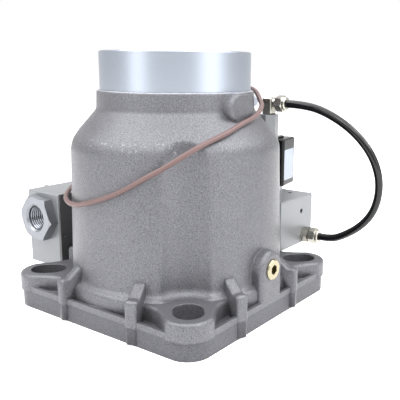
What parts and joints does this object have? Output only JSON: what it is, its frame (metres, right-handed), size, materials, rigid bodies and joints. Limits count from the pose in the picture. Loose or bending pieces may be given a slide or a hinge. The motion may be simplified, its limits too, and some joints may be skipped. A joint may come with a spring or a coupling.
{
  "type": "compressor intake valve",
  "caption": "Screw compressor intake valve: slotted square flange, round casting with spring-closed poppet, inlet pipe, blow-off block, solenoid pilot manifold, hose and coil lead.",
  "frame": {"origin": "centre of the outlet bore, on the flange's mounting face", "axes": "+Z along the valve axis towards the inlet pipe; +X towards the flange side with the drain plug; -Y towards the flange side that the blow-off port faces"},
  "size_m": [0.2471, 0.1986, 0.174],
  "materials": {
    "cast_aluminium": "grey sand-blasted casting, sparkling grain",
    "turned_aluminium": "satin turned",
    "milled_aluminium": "satin milled",
    "black_plate": "satin black",
    "plug_brass": "bright yellow",
    "fitting_nickel": "nickel plated, turned",
    "zinc_steel": "zinc plated",
    "black_steel": "black oxide",
    "spring_steel": "drawn wire",
    "stainless": "turned stainless steel",
    "bronze": "turned bronze",
    "rubber_black": "matte",
    "ptfe": "filled sealing plastic",
    "gasket_fibre": "pressed fibre",
    "coil_black": "moulded, fine texture",
    "hose_black": "glossy",
    "lead_red_brown": "matte",
    "nylon_white": "translucent nylon"
  },
  "bodies": {
    "valve_body": {"main_casting": "cast_aluminium", "inlet_pipe": "turned_aluminium", "inlet_o_ring": "rubber_black", "stem_bush": "bronze", "servo_cover": "milled_aluminium", "servo_cover_ring": "spring_steel", "closing_spring": "spring_steel", "port_plug": "plug_brass", "blowoff_spacer": "black_plate", "blowoff_block": "milled_aluminium", "blowoff_screws": "zinc_steel", "port_bush": "zinc_steel", "blowoff_spring": "spring_steel", "blowoff_cap": "fitting_nickel", "blowoff_cap_ring": "rubber_black", "manifold_gasket": "gasket_fibre", "manifold_block": "milled_aluminium", "manifold_screws": "zinc_steel", "manifold_plugs": "black_steel", "valve_tube": "stainless", "plunger_spring": "spring_steel", "coil": "coil_black", "coil_nut": "coil_black", "lead_grommet": "coil_black", "standpipe": "milled_aluminium", "elbow_fitting": "fitting_nickel", "elbow_nut": "fitting_nickel", "straight_fitting": "fitting_nickel", "straight_nut": "fitting_nickel", "pilot_hose": "hose_black", "coil_lead": "lead_red_brown", "lead_connector": "nylon_white"},
    "poppet": {"valve_disc": "turned_aluminium", "disc_seal": "rubber_black", "valve_stem": "stainless", "stem_washer": "zinc_steel", "stem_nut": "zinc_steel", "servo_piston": "turned_aluminium", "piston_ring": "ptfe", "piston_nut": "zinc_steel"},
    "blowoff_spool": {"blowoff_spool": "bronze"},
    "plunger": {"plunger": "stainless"}
  },
  "joints": [
    {"name": "poppet_stroke", "type": "slide", "parent": "valve_body", "child": "poppet", "axis": [0, 0, -1], "range_m": [0, 0.02], "stiffness_N_per_m": 2000, "springref_m": -0.015, "deforming": ["closing_spring"]},
    {"name": "blowoff_stroke", "type": "slide", "parent": "valve_body", "child": "blowoff_spool", "axis": [0, 1, 0], "range_m": [0, 0.008], "stiffness_N_per_m": 800, "springref_m": -0.006, "deforming": ["blowoff_spring"]},
    {"name": "plunger_lift", "type": "slide", "parent": "valve_body", "child": "plunger", "axis": [0, 0, 1], "range_m": [0, 0.002], "stiffness_N_per_m": 400, "springref_m": -0.004, "deforming": ["plunger_spring"]}
  ]
}
